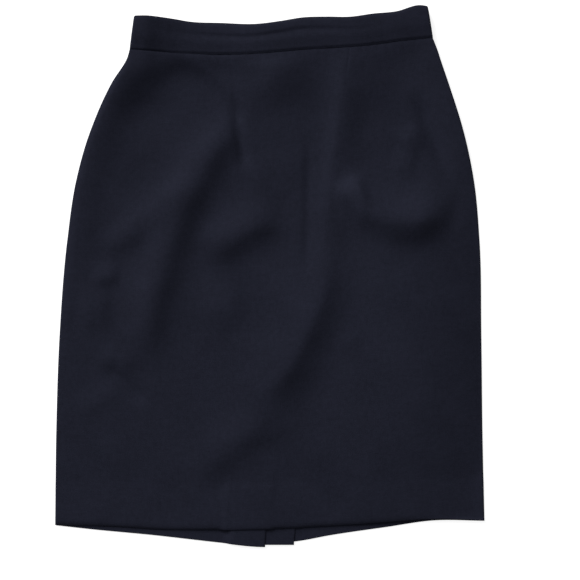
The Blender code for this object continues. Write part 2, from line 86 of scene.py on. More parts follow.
def dentHeight(dent, x, y):
    height, size, seed = dent  # the order in every "dents" setting
    return height * softNoise(x, y, size, seed)


def foldHeight(fold, x, y):
    # round across its crest, which bows to the right on the way from start to end
    startX, startY, endX, endY, bow, height, leftWidth, rightWidth, fadeIn, fadeOut = fold
    length = math.hypot(endX - startX, endY - startY)
    alongX, alongY = (endX - startX) / length, (endY - startY) / length
    along = ((x - startX) * alongX + (y - startY) * alongY) / length
    across = (x - startX) * alongY - (y - startY) * alongX
    inside = np.clip(along, 0.0, 1.0)
    across = across - bow * 4 * inside * (1 - inside)
    width = np.where(across > 0, rightWidth, leftWidth)
    ends = easeInOut(along / fadeIn) * easeInOut((1 - along) / fadeOut)
    return height * ends * bell(across, width)


grooveFade = {"start": 0.04, "tip": 0.18}  # shares of a groove's length


def grooveDepth(groove, x, y):
    # a straight stitched line pressed into the cloth, fading at its tip
    startX, startY, endX, endY, depth, width = groove
    length = math.hypot(endX - startX, endY - startY)
    alongX, alongY = (endX - startX) / length, (endY - startY) / length
    along = ((x - startX) * alongX + (y - startY) * alongY) / length
    across = (x - startX) * alongY - (y - startY) * alongX
    ends = easeInOut(along / grooveFade["start"] + 0.5) * easeInOut((1 - along) / grooveFade["tip"])
    return depth * ends * bell(across, width)


def joinPoints(*coordinates):
    return np.stack(np.broadcast_arrays(*coordinates), axis=-1).astype(float)


def faceNormals(grid):
    normal = np.cross(np.gradient(grid, axis=1), np.gradient(grid, axis=0))
    return normal / np.linalg.norm(normal, axis=-1, keepdims=True)


def coonsPatch(left, right, bottom, top, u, v):
    # grid between four edges that meet at their corners
    u, v = u[None, :, None], v[:, None, None]
    sides = (1 - u) * left[:, None] + u * right[:, None]
    ends = (1 - v) * bottom[None] + v * top[None]
    lowCorners = (1 - u) * bottom[0] + u * bottom[-1]
    highCorners = (1 - u) * top[0] + u * top[-1]
    return sides + ends - (1 - v) * lowCorners - v * highCorners


def clothLengths(grid):
    # place on the cloth itself, along and up, so that the weave follows its folds
    stepsAlong = np.linalg.norm(np.diff(grid, axis=1), axis=-1)
    along = np.concatenate([np.zeros((len(grid), 1)), np.cumsum(stepsAlong, axis=1)], axis=1)
    along -= along[:, along.shape[1] // 2][:, None]
    stepsUp = np.linalg.norm(np.diff(grid, axis=0), axis=-1)
    up = np.concatenate([np.zeros((1, grid.shape[1])), np.cumsum(stepsUp, axis=0)], axis=0)
    return joinPoints(along, up, 0.0)


innerShift = (0, 0, 0.05)  # so that the inside of the cloth has other flecks than its face


def clothShell(name, outer, inner, bulges=(0.0, 0.0, 0.0, 0.0), rimSteps=4):
    # closed cloth between two grids; bulges round its edges: bottom, right, top, left
    rows, columns = outer.shape[:2]
    count = rows * columns
    index = np.arange(count).reshape(rows, columns)
    quads = np.stack([index[:-1, :-1], index[:-1, 1:], index[1:, 1:], index[1:, :-1]], -1).reshape(-1, 4)
    faces = [quads, quads[:, ::-1] + count]
    edges = (  # once round the grid
        [(0, j) for j in range(columns)]
        + [(i, columns - 1) for i in range(1, rows)]
        + [(rows - 1, j) for j in range(columns - 2, -1, -1)]
        + [(i, 0) for i in range(rows - 2, 0, -1)]
    )
    at = np.array(edges)
    atRow, atColumn = at[:, 0], at[:, 1]
    push = np.zeros((len(at), 3))
    sides = (
        (atRow == 0, (1, 0), bulges[0]),
        (atColumn == columns - 1, (0, -1), bulges[1]),
        (atRow == rows - 1, (-1, 0), bulges[2]),
        (atColumn == 0, (0, 1), bulges[3]),
    )
    for onSide, (rowStep, columnStep), bulge in sides:
        here = outer[atRow[onSide], atColumn[onSide]]
        inward = outer[atRow[onSide] + rowStep, atColumn[onSide] + columnStep]
        direction = here - inward
        push[onSide] += bulge * direction / np.linalg.norm(direction, axis=1, keepdims=True)
    outerEdge, innerEdge = outer[atRow, atColumn], inner[atRow, atColumn]
    middle, half = (outerEdge + innerEdge) / 2, (outerEdge - innerEdge) / 2
    rings = [atRow * columns + atColumn]
    rimPoints = []
    for k in range(1, rimSteps):
        turn = math.pi * k / rimSteps
        rimPoints.append(middle + math.cos(turn) * half + math.sin(turn) * push)
        rings.append(2 * count + (k - 1) * len(at) + np.arange(len(at)))
    rings.append(atRow * columns + atColumn + count)
    for upper, lower in zip(rings, rings[1:]):
        faces.append(np.stack([lower, np.roll(lower, -1), np.roll(upper, -1), upper], -1))
    points = np.concatenate([outer.reshape(-1, 3), inner.reshape(-1, 3), *rimPoints])
    mesh = bpy.data.meshes.new(name)
    mesh.from_pydata(points.tolist(), [], np.concatenate(faces).tolist())
    lengths = clothLengths(outer).reshape(-1, 3)
    edgeLengths = lengths[atRow * columns + atColumn]
    places = np.concatenate([lengths, lengths + innerShift, *[edgeLengths] * (rimSteps - 1)])
    return finishPiece(name, mesh, places)


def finishPiece(name, mesh, places, sharpAngle=50):
    attribute = mesh.attributes.new("clothPlace", "FLOAT_VECTOR", "POINT")
    attribute.data.foreach_set("vector", places.astype(np.float32).ravel())
    mesh.update()
    mesh.shade_smooth()
    mesh.set_sharp_from_angle(angle=math.radians(sharpAngle))
    piece = bpy.data.objects.new(name, mesh)
    bpy.context.scene.collection.objects.link(piece)
    return piece


# materials


def newGroup(name, inputs, outputs):
    group = bpy.data.node_groups.new(name, "ShaderNodeTree")
    for label, kind, default in inputs:
        socket = group.interface.new_socket(name=label, in_out="INPUT", socket_type=kind)
        if default is not None:
            socket.default_value = default
    for label, kind in outputs:
        group.interface.new_socket(name=label, in_out="OUTPUT", socket_type=kind)
    return group, group.nodes.new("NodeGroupInput"), group.nodes.new("NodeGroupOutput")


def addNode(tree, kind, **settings):
    node = tree.nodes.new(kind)
    for key, value in settings.items():
        setattr(node, key, value)
    return node


def mathNode(tree, operation, first, second=None, third=None):
    node = addNode(tree, "ShaderNodeMath", operation=operation)
    for socket, value in zip(node.inputs, (first, second, third)):
        if value is None:
            continue
        if isinstance(value, (int, float)):
            socket.default_value = value
        else:
            tree.links.new(value, socket)
    return node.outputs[0]


def noiseNode(tree, vector, scale, detail=2.0, roughness=0.5):
    noise = addNode(tree, "ShaderNodeTexNoise")
    noise.inputs["Scale"].default_value = scale
    noise.inputs["Detail"].default_value = detail
    noise.inputs["Roughness"].default_value = roughness
    tree.links.new(vector, noise.inputs["Vector"])
    return noise.outputs["Fac"]


def stretchNode(tree, vector, scale):
    mapping = addNode(tree, "ShaderNodeMapping")
    mapping.inputs["Scale"].default_value = scale
    tree.links.new(vector, mapping.inputs["Vector"])
    return mapping.outputs["Vector"]


crepeSpec = {
    "yarnSize": 0.00045,
    "wanderScale": 900,
    "wander": (0.00035, 0.00035, 0),
    "pebbleScale": 750,
    "warpSlub": (1500, 45, 1),
    "weftSlub": (38, 1500, 1),
    "mottleScale": 190,
    "cloudScale": 22,
    "tone": {"weave": 0.06, "pebble": 1.60, "slub": 0.35, "mottle": 0.70, "cloud": 0.60, "shift": -1.30},
    "height": {"weave": 0.30, "pebble": 0.9, "slub": 0.35},
    "roughness": 0.74,
    "pebbleRoughness": 0.16,
}


def makeCrepeGroup():
    # twisted yarns in a plain weave, with the pebbled surface and slubs of crepe
    group, start, end = newGroup(
        "crepeWeave",
        [("Vector", "NodeSocketVector", None), ("Yarn Size", "NodeSocketFloat", crepeSpec["yarnSize"])],
        [("Tone", "NodeSocketFloat"), ("Height", "NodeSocketFloat"), ("Roughness", "NodeSocketFloat")],
    )
    vector = start.outputs["Vector"]
    wander = addNode(group, "ShaderNodeTexNoise")
    wander.inputs["Scale"].default_value = crepeSpec["wanderScale"]
    group.links.new(vector, wander.inputs["Vector"])
    wanderBy = addNode(group, "ShaderNodeVectorMath", operation="MULTIPLY_ADD")
    group.links.new(wander.outputs["Color"], wanderBy.inputs[0])
    wanderBy.inputs[1].default_value = crepeSpec["wander"]
    group.links.new(vector, wanderBy.inputs[2])
    place = addNode(group, "ShaderNodeSeparateXYZ")
    group.links.new(wanderBy.outputs[0], place.inputs[0])
    turns = mathNode(group, "DIVIDE", math.pi, start.outputs["Yarn Size"])
    across = mathNode(group, "SINE", mathNode(group, "MULTIPLY", place.outputs["X"], turns))
    up = mathNode(group, "SINE", mathNode(group, "MULTIPLY", place.outputs["Y"], turns))
    weave = mathNode(group, "MULTIPLY", across, up)
    pebble = noiseNode(group, vector, crepeSpec["pebbleScale"], 2.5, 0.6)
    warpSlub = noiseNode(group, stretchNode(group, vector, crepeSpec["warpSlub"]), 1.0, 1.0)
    weftSlub = noiseNode(group, stretchNode(group, vector, crepeSpec["weftSlub"]), 1.0, 1.0)
    marks = {
        "weave": weave,
        "pebble": pebble,
        "slub": mathNode(group, "ADD", warpSlub, weftSlub),
        "mottle": noiseNode(group, vector, crepeSpec["mottleScale"]),
        "cloud": noiseNode(group, vector, crepeSpec["cloudScale"]),
    }
    tone, toneShares = crepeSpec["tone"]["shift"], crepeSpec["tone"]
    for mark, output in marks.items():
        tone = mathNode(group, "MULTIPLY_ADD", output, toneShares[mark], tone)
    group.links.new(tone, end.inputs["Tone"])
    height = 0.0
    for mark, share in crepeSpec["height"].items():
        height = mathNode(group, "MULTIPLY_ADD", marks[mark], share, height)
    group.links.new(height, end.inputs["Height"])
    rough = mathNode(group, "MULTIPLY_ADD", pebble, crepeSpec["pebbleRoughness"], crepeSpec["roughness"])
    group.links.new(rough, end.inputs["Roughness"])
    return group


def makeMaterial(name):
    material = bpy.data.materials.new(name)
    material.use_nodes = True
    return material, material.node_tree, material.node_tree.nodes["Principled BSDF"]


clothFinish = {
    "shadeColour": (0.0139, 0.0152, 0.0266, 1),
    "lightColour": (0.0260, 0.0283, 0.0484, 1),
    "bumpDistance": 0.00016,
    "bumpStrength": 0.55,
    "sheenWeight": 0.05,
    "sheenRoughness": 0.45,
    "sheenTint": (0.45, 0.50, 0.75, 1),
    "specular": 0.08,
}


def makeClothMaterial(name, crepe, toneShift=0.0):
    material, tree, shader = makeMaterial(name)
    place = addNode(tree, "ShaderNodeAttribute", attribute_name="clothPlace")
    weave = addNode(tree, "ShaderNodeGroup", node_tree=crepe)
    tree.links.new(place.outputs["Vector"], weave.inputs["Vector"])
    colours = addNode(tree, "ShaderNodeMix", data_type="RGBA")
    colours.inputs["A"].default_value = clothFinish["shadeColour"]
    colours.inputs["B"].default_value = clothFinish["lightColour"]
    tree.links.new(mathNode(tree, "ADD", weave.outputs["Tone"], toneShift), colours.inputs["Factor"])
    tree.links.new(colours.outputs["Result"], shader.inputs["Base Color"])
    tree.links.new(weave.outputs["Roughness"], shader.inputs["Roughness"])
    bump = addNode(tree, "ShaderNodeBump")
    bump.inputs["Strength"].default_value = clothFinish["bumpStrength"]
    bump.inputs["Distance"].default_value = clothFinish["bumpDistance"]
    tree.links.new(weave.outputs["Height"], bump.inputs["Height"])
    tree.links.new(bump.outputs["Normal"], shader.inputs["Normal"])
    shader.inputs["Specular IOR Level"].default_value = clothFinish["specular"]
    shader.inputs["Sheen Weight"].default_value = clothFinish["sheenWeight"]
    shader.inputs["Sheen Roughness"].default_value = clothFinish["sheenRoughness"]
    shader.inputs["Sheen Tint"].default_value = clothFinish["sheenTint"]
    return material


metalFinish = {
    "colour": (0.42, 0.42, 0.43, 1),
    "brushing": (300, 9000, 300),
    "leastRough": 0.28,
    "mostRough": 0.48,
}


def makeMetalMaterial(name):
    material, tree, shader = makeMaterial(name)
    place = addNode(tree, "ShaderNodeTexCoord").outputs["Object"]
    brushing = noiseNode(tree, stretchNode(tree, place, metalFinish["brushing"]), 1.0, 3.0)
    ramp = addNode(tree, "ShaderNodeMapRange")
    ramp.inputs["To Min"].default_value = metalFinish["leastRough"]
    ramp.inputs["To Max"].default_value = metalFinish["mostRough"]
    tree.links.new(brushing, ramp.inputs["Value"])
    tree.links.new(ramp.outputs["Result"], shader.inputs["Roughness"])
    shader.inputs["Base Color"].default_value = metalFinish["colour"]
    shader.inputs["Metallic"].default_value = 1.0
    return material


floorSpec = {
    "half": 12.0,
    "level": -0.0006,
    "darkest": 0.88,
    "lightest": 0.92,
    "patchScale": 6.0,
    "roughness": 0.9,
    "specular": 0.1,
    "glow": 0.8,
}


def makeFloorMaterial():
    material, tree, shader = makeMaterial("paleFloor")
    place = addNode(tree, "ShaderNodeTexCoord").outputs["Object"]
    tone = addNode(tree, "ShaderNodeMapRange")
    tone.inputs["To Min"].default_value = floorSpec["darkest"]
    tone.inputs["To Max"].default_value = floorSpec["lightest"]
    tree.links.new(noiseNode(tree, place, floorSpec["patchScale"]), tone.inputs["Value"])
    tree.links.new(tone.outputs["Result"], shader.inputs["Base Color"])
    shader.inputs["Roughness"].default_value = floorSpec["roughness"]
    shader.inputs["Specular IOR Level"].default_value = floorSpec["specular"]
    seen = addNode(tree, "ShaderNodeLightPath").outputs["Is Camera Ray"]  # glows to the eye, lights nothing
    tree.links.new(mathNode(tree, "MULTIPLY", seen, floorSpec["glow"]), shader.inputs["Emission Strength"])
    shader.inputs["Emission Color"].default_value = (1, 1, 1, 1)
    return material


# the cut of the skirt

clothSpec = {
    "wall": 0.0010,
    "hemWall": 0.0016,
    "hemDepth": 0.045,
    "hemEase": 0.010,
    "bandWall": 0.0020,
    "gap": 0.0002,  # air between two layers
    "length": 0.57,
    "backWidth": 0.25,
    "gridStep": 0.00285,
    "backCoarser": 1.15,  # the back hardly shows, so its grid is coarser by this much
}

sideLine = {  # outline of both sides, at heights on the skirt, and how each side stands up or slopes off
    "y": [-0.2851, -0.1781, -0.0681, 0.0418, 0.1105, 0.1655, 0.2204, 0.2500, 0.2585, 0.2736],
    "left": [-0.2462, -0.2450, -0.2412, -0.2322, -0.2217, -0.2057, -0.1808, -0.1622, -0.1600, -0.1586],
    "right": [0.2469, 0.2446, 0.2433, 0.2412, 0.2347, 0.2230, 0.2058, 0.1957, 0.1930, 0.1872],
    "leftRise": [0.0003, 0.0005, 0.0010, 0.0042, 0.0064, 0.0082, 0.0088, 0.0030, 0.0010, 0.0],
    "leftReach": [0.030, 0.030, 0.028, 0.026, 0.030, 0.030, 0.034, 0.042, 0.040, 0.040],
    "rightRise": [0.0, 0.0, 0.0, 0.0, 0.0016, 0.0028, 0.0026, 0.0014, 0.0010, 0.0],
    "rightSwell": [0.0012, 0.0110, 0.0128, 0.0098, 0.0024, 0.0, 0.0, 0.0, 0.0, 0.0],
}

frontHem = {  # its folded edge, and the height above the back that it rounds down to
    "x": [-0.2462, -0.1803, -0.1254, -0.0590, 0.0029, 0.0578, 0.1311, 0.1861, 0.2469],
    "y": [-0.2849, -0.2862, -0.2896, -0.2902, -0.2891, -0.2864, -0.2813, -0.2772, -0.2786],
    "edge": [0.0011, 0.0011, 0.0011, 0.0011, 0.0011, 0.0014, 0.0028, 0.0044, 0.0034],
}

rightBackHem = {
    "x": [-0.2462, -0.2055, -0.1323, -0.0590, -0.0132, -0.0048],
    "y": [-0.2850, -0.2895, -0.2965, -0.3048, -0.3095, -0.3098],
}

leftBackHem = {
    "x": [-0.0400, 0.0326, 0.0693, 0.1334, 0.1884, 0.2469],
    "y": [-0.3056, -0.3033, -0.2966, -0.2872, -0.2795, -0.2799],
}

# along the waist seam: both edges of the band, the height of its face, how much and how far it lifts the front,
# the depth of its long crease, and how much its top edge stands above its seam
bandLine = {
    "x": [-0.1598, -0.1430, -0.1254, -0.1080, -0.0980, -0.0560, -0.0150, 0.0120,
          0.0395, 0.0670, 0.0945, 0.1220, 0.1494, 0.1768, 0.1872],
    "seam": [0.2579, 0.2567, 0.2559, 0.2548, 0.2546, 0.2536, 0.2543, 0.2563,
             0.2587, 0.2602, 0.2618, 0.2648, 0.2689, 0.2720, 0.2735],
    "top": [0.2945, 0.2946, 0.2934, 0.2914, 0.2899, 0.2881, 0.2866, 0.2896,
            0.2937, 0.2944, 0.2943, 0.2982, 0.3010, 0.3085, 0.3076],
    "height": [0.0240, 0.0242, 0.0202, 0.0174, 0.0164, 0.0156, 0.0187, 0.0195,
               0.0200, 0.0205, 0.0208, 0.0191, 0.0182, 0.0156, 0.0148],
    "lift": [0.0108, 0.0096, 0.0076, 0.0058, 0.0052, 0.0038, 0.0032, 0.0038,
             0.0042, 0.0040, 0.0034, 0.0036, 0.0034, 0.0034, 0.0034],
    "reach": [0.036, 0.036, 0.040, 0.046, 0.050, 0.052, 0.052, 0.044,
              0.042, 0.044, 0.050, 0.052, 0.052, 0.060, 0.060],
    "crease": [0.0, 0.0, 0.0002, 0.0004, 0.0006, 0.0011, 0.0013, 0.0014,
               0.0014, 0.0010, 0.0006, 0.0002, 0.0, 0.0, 0.0],
    "lean": [0.0040, 0.0044, 0.0040, 0.0024, 0.0012, 0.0, 0.0, 0.0, 0.0, 0.0, 0.0, 0.0, 0.0, 0.0, 0.0],
}

backSeam = {  # it runs a little askew, as the skirt lies twisted
    "waistX": 0.009,
    "hemX": -0.028,
    "waistY": 0.256,
    "hemY": -0.308,
    "zipLength": 0.180,
    "zipMargin": 0.036,  # the layers beside the zip begin this far below it, and ease in
    "zipEase": 0.020,
    "lap": 0.012,
    "ventLength": 0.180,
    "ventEase": 0.024,
    "underlap": 0.0232,
    "facingWidth": 0.0556,
    "facingWall": 0.0008,
    "backLow": 0.0020,  # the waist of the back lies this much below the front's
}


def seamX(y):
    share = (y - backSeam["hemY"]) / (backSeam["waistY"] - backSeam["hemY"])
    return backSeam["hemX"] + (backSeam["waistX"] - backSeam["hemX"]) * share


def hemWall(y, hemY):
    share = 1 - easeInOut((y - hemY - clothSpec["hemDepth"]) / clothSpec["hemEase"])
    return clothSpec["wall"] + (clothSpec["hemWall"] - clothSpec["wall"]) * share


def ventShare(y):
    return 1 - easeInOut((y - backSeam["hemY"] - backSeam["ventLength"]) / backSeam["ventEase"])


def zipShare(y):
    fromEnd = y - backSeam["waistY"] + backSeam["zipLength"] + backSeam["zipMargin"]
    return easeInOut(fromEnd / backSeam["zipEase"])


# front

frontSpec = {
    "level": 0.0050,
    "upperRise": 0.0020,
    "upperFrom": 0.05,
    "upperReach": 0.13,
    "sideRoll": 0.0028,
    "rollSteps": 7,
    "sideSink": 0.0003,  # both sides are sewn down on the back
    "sideCrest": 0.009,
    "sideFall": 0.0108,
    "rightCrest": 0.006,
    "rightReach": 0.024,
    "swellAt": 0.085,  # the right side falls off from here to its edge
    "swellReach": 0.080,
    "swellDrop": 0.0026,
    "swellOnset": 0.003,
    "hemHollow": 0.0013,  # the front lies close above its hem and stands off again at the edge
    "hemHollowAt": 0.046,
    "hemHollowReach": 0.030,
    "seamDrop": 0.0043,  # it is sewn on this far below the band's face
    "sewnReach": 0.013,  # over this length the front comes up or down to the band's edge
    "settle": 0.0004,  # how softly it comes to rest on the layers below
    "edgeRollWidth": 0.0044,
    "hemBulge": 0.0004,
    "hemRows": (0, 0.0007, 0.0014, 0.0022, 0.0031, 0.0041),
    "waistRows": (0.9978, 0.9989, 1),
    "dartReach": 0.016,
    "dartColumns": 22,
}

frontOverBack = {  # how the layers at the centre of the back show through
    "ventRise": 0.0004,
    "ventReach": 0.052,
    "hemRise": 0.0018,
    "hemRiseFrom": 0.0225,
    "hemRiseReach": 0.040,
    "zipRise": 0.0010,
    "zipReach": 0.030,
    "startsAt": -0.034,  # from the centre seam
    "startWidth": 0.010,
    "clearance": 0.011,
    "stepWidth": 0.008,
}

frontFinish = {
    "seamDip": 0.0004,
    "seamDipWidth": 0.0016,
    "pucker": 0.00016,
    "puckerPitch": 0.0105,
    "puckerAt": 0.004,
    "puckerReach": 0.009,
    "puckerWander": (3.0, 0.05, 5),
    "puckerFade": (0.4, 0.03, 8),
    "hemLine": 0.00012,
    "hemLineBelow": 0.006,
    "hemLineReach": 0.014,
    "hemLineStep": 0.004,
    "dents": (0.00038, 0.026, 11),
    "dentFade": (0.3, 0.09, 3),
    "smallDents": (0.00012, 0.011, 21),
}

# start x y, end x y, bow, height, width to the left and right, fades at start and end
frontFolds = [
    (-0.036, 0.192, -0.150, -0.112, 0.019, 0.0093, 0.021, 0.024, 0.17, 0.25),  # long ridge off the left dart
    (-0.078, 0.124, -0.180, 0.035, -0.002, 0.0047, 0.022, 0.017, 0.35, 0.40),
    (-0.196, 0.028, -0.137, 0.060, 0.000, 0.0036, 0.016, 0.014, 0.40, 0.40),
    (-0.084, 0.022, 0.018, 0.080, 0.002, 0.0084, 0.024, 0.020, 0.35, 0.38),
    (0.095, 0.262, 0.060, -0.027, 0.005, 0.0061, 0.024, 0.012, 0.30, 0.45),  # ridge down the middle
    (0.074, 0.059, -0.017, -0.153, -0.020, 0.0020, 0.011, 0.014, 0.35, 0.25),
    (0.072, 0.050, -0.024, -0.170, -0.018, 0.0098, 0.027, 0.048, 0.40, 0.35),
    (0.024, -0.133, -0.097, -0.239, 0.000, 0.0046, 0.020, 0.026, 0.35, 0.35),
    (0.072, -0.080, 0.108, -0.068, 0.000, 0.0020, 0.014, 0.016, 0.40, 0.40),
    (0.077, 0.102, 0.218, 0.079, 0.026, 0.0148, 0.030, 0.022, 0.25, 0.32),  # bulge of the hip
    (0.070, 0.090, 0.114, 0.106, 0.000, 0.0056, 0.012, 0.017, 0.35, 0.35),
    (0.088, 0.272, 0.082, 0.165, 0.000, 0.0048, 0.050, 0.019, 0.15, 0.60),  # slack below the band
    (-0.006, 0.262, 0.010, 0.180, 0.000, 0.0060, 0.038, 0.030, 0.25, 0.55),
    (0.138, 0.130, 0.172, 0.128, 0.000, 0.0018, 0.016, 0.014, 0.40, 0.40),
    (-0.017, 0.242, 0.140, 0.250, -0.002, 0.0020, 0.009, 0.026, 0.20, 0.35),  # roll below the waist seam
    (-0.085, 0.252, -0.172, 0.156, 0.000, -0.0048, 0.080, 0.028, 0.14, 0.45),  # hollow inside the left hip
    (-0.050, 0.262, -0.078, 0.176, 0.000, -0.0032, 0.036, 0.046, 0.30, 0.50),
    (-0.041, 0.216, -0.026, 0.116, 0.002, -0.0034, 0.007, 0.0065, 0.35, 0.25),
    (0.045, 0.174, 0.042, -0.010, 0.000, -0.0016, 0.006, 0.005, 0.30, 0.30),
    (0.164, 0.216, 0.209, 0.105, 0.000, -0.0034, 0.008, 0.008, 0.30, 0.40),
    (0.145, 0.150, 0.177, 0.166, 0.000, 0.0036, 0.012, 0.016, 0.40, 0.40),
    (-0.208, -0.003, -0.168, 0.001, 0.000, 0.0032, 0.014, 0.010, 0.40, 0.40),
    (-0.224, -0.042, -0.176, -0.040, 0.000, 0.0032, 0.024, 0.017, 0.40, 0.40),
    (-0.200, -0.084, -0.150, -0.110, 0.000, 0.0021, 0.012, 0.018, 0.40, 0.40),
    (-0.196, -0.096, -0.138, -0.150, 0.000, -0.0036, 0.008, 0.008, 0.30, 0.30),
    (-0.228, -0.164, -0.160, -0.118, 0.000, 0.0014, 0.016, 0.012, 0.40, 0.40),
    (-0.085, -0.048, -0.022, -0.021, 0.000, 0.0044, 0.028, 0.026, 0.40, 0.40),
    (-0.051, -0.187, 0.041, -0.162, 0.004, 0.0016, 0.020, 0.014, 0.40, 0.40),
]

# darts from the waist seam to their tips: start x y, end x y, depth, width
frontDarts = [
    (-0.0450, 0.2534, -0.0360, 0.1620, 0.00020, 0.0011),
    (0.0916, 0.2604, 0.0807, 0.1720, 0.00025, 0.0011),
]


def layersBelow(x, y, hemY):
    # top of what the front lies on: the back, with the vent's facing and underlap
    fromSeam = x - seamX(y)
    overVent = facingLevel() + backSeam["facingWall"] + clothSpec["gap"]
    overFacing = backSeam["facingWall"] + clothSpec["gap"]
    begun = easeInOut((fromSeam - frontOverBack["startsAt"]) / frontOverBack["startWidth"])
    beyond = frontOverBack["clearance"] - fromSeam
    underlapped = easeInOut((backSeam["underlap"] + beyond) / frontOverBack["stepWidth"])
    faced = easeInOut((backSeam["facingWidth"] + beyond) / frontOverBack["stepWidth"])
    stacked = overFacing * faced + (overVent - overFacing) * underlapped
    return hemWall(y, hemY) + stacked * begun * ventShare(y)


def sidesHeight(x, y):
    # both long sides stand up or slope off
    pastLeft = x - readTable(sideLine, "left", y) - frontSpec["sideCrest"]
    leftWidth = np.where(pastLeft > 0, readTable(sideLine, "leftReach", y), frontSpec["sideFall"])
    height = readTable(sideLine, "leftRise", y) * bell(pastLeft, leftWidth)
    fromRight = readTable(sideLine, "right", y) - x
    rightCrest = bell(fromRight - frontSpec["rightCrest"], frontSpec["rightReach"])
    height = height + readTable(sideLine, "rightRise", y) * rightCrest
    swell = readTable(sideLine, "rightSwell", y)
    pastSwell = fromRight - frontSpec["swellAt"]
    height = height + swell * bell(np.maximum(pastSwell, 0), frontSpec["swellReach"])
    fall = np.clip(-pastSwell / frontSpec["swellAt"], 0, 1) ** 2.0
    drop = frontSpec["swellDrop"] * easeInOut(swell / frontSpec["swellOnset"])
    return height - (swell + drop) * fall


def overBackHeight(x, y, aboveHem):
    inHem = 1 - easeInOut((aboveHem - frontOverBack["hemRiseFrom"]) / frontOverBack["hemRiseReach"])
    overVent = frontOverBack["ventRise"] * ventShare(y) + frontOverBack["hemRise"] * inHem
    height = overVent * bell(x - seamX(y) - backSeam["underlap"] / 2, frontOverBack["ventReach"])
    return height + frontOverBack["zipRise"] * zipShare(y) * bell(x - seamX(y), frontOverBack["zipReach"])


def frontBroad(x, y):
    hemY = readTable(frontHem, "y", x)
    aboveHem = y - hemY
    belowWaist = readTable(bandLine, "seam", x) - y
    upper = easeInOut((y - frontSpec["upperFrom"]) / frontSpec["upperReach"])
    height = frontSpec["level"] + frontSpec["upperRise"] * upper
    height = height + readTable(bandLine, "lift", x) * bell(belowWaist, readTable(bandLine, "reach", x))
    height = height + sidesHeight(x, y) + overBackHeight(x, y, aboveHem)
    hollow = bell(aboveHem - frontSpec["hemHollowAt"], frontSpec["hemHollowReach"])
    height = height - frontSpec["hemHollow"] * hollow
    for fold in frontFolds:
        height = height + foldHeight(fold, x, y)
    sewnAt = readTable(bandLine, "height", x) - frontSpec["seamDrop"]
    height = height + (sewnAt - height) * bell(belowWaist, frontSpec["sewnReach"])
    lowest = layersBelow(x, y, hemY) + hemWall(y, hemY) + 2 * clothSpec["gap"]
    settle = frontSpec["settle"]
    return lowest + np.logaddexp(0, (height - lowest) / settle) * settle


def frontFine(x, y):
    finish = frontFinish
    belowWaist = readTable(bandLine, "seam", x) - y
    fine = -finish["seamDip"] * bell(belowWaist, finish["seamDipWidth"])
    for dart in frontDarts:
        fine = fine - grooveDepth(dart, x, y)
    wander = dentHeight(finish["puckerWander"], x, y)
    fade = 1 - finish["puckerFade"][0] + dentHeight(finish["puckerFade"], x, y)
    ripples = np.sin(x * 2 * math.pi / finish["puckerPitch"] + wander) * fade
    fine = fine + finish["pucker"] * ripples * bell(belowWaist - finish["puckerAt"], finish["puckerReach"])
    belowHemLine = clothSpec["hemDepth"] - (y - readTable(frontHem, "y", x))
    pressed = easeInOut(belowHemLine / finish["hemLineStep"] - 0.5)
    hemLine = pressed * bell(belowHemLine - finish["hemLineBelow"], finish["hemLineReach"])
    fine = fine + finish["hemLine"] * hemLine
    dentFade = 1 - finish["dentFade"][0] + dentHeight(finish["dentFade"], x, y)
    return fine + dentHeight(finish["dents"], x, y) * dentFade + dentHeight(finish["smallDents"], x, y)


def edgePoints(side, hemY, waistY, v):
    y = hemY + (waistY - hemY) * v
    return joinPoints(readTable(sideLine, side, y), y)


def finerNear(places, centres, reach, count):
    # extra columns close to fine lines
    added = [np.linspace(centre - reach, centre + reach, count) for centre in centres]
    keep = [p for p in places if all(abs(p - centre) > reach for centre in centres)]
    return np.sort(np.concatenate([keep, *added]))


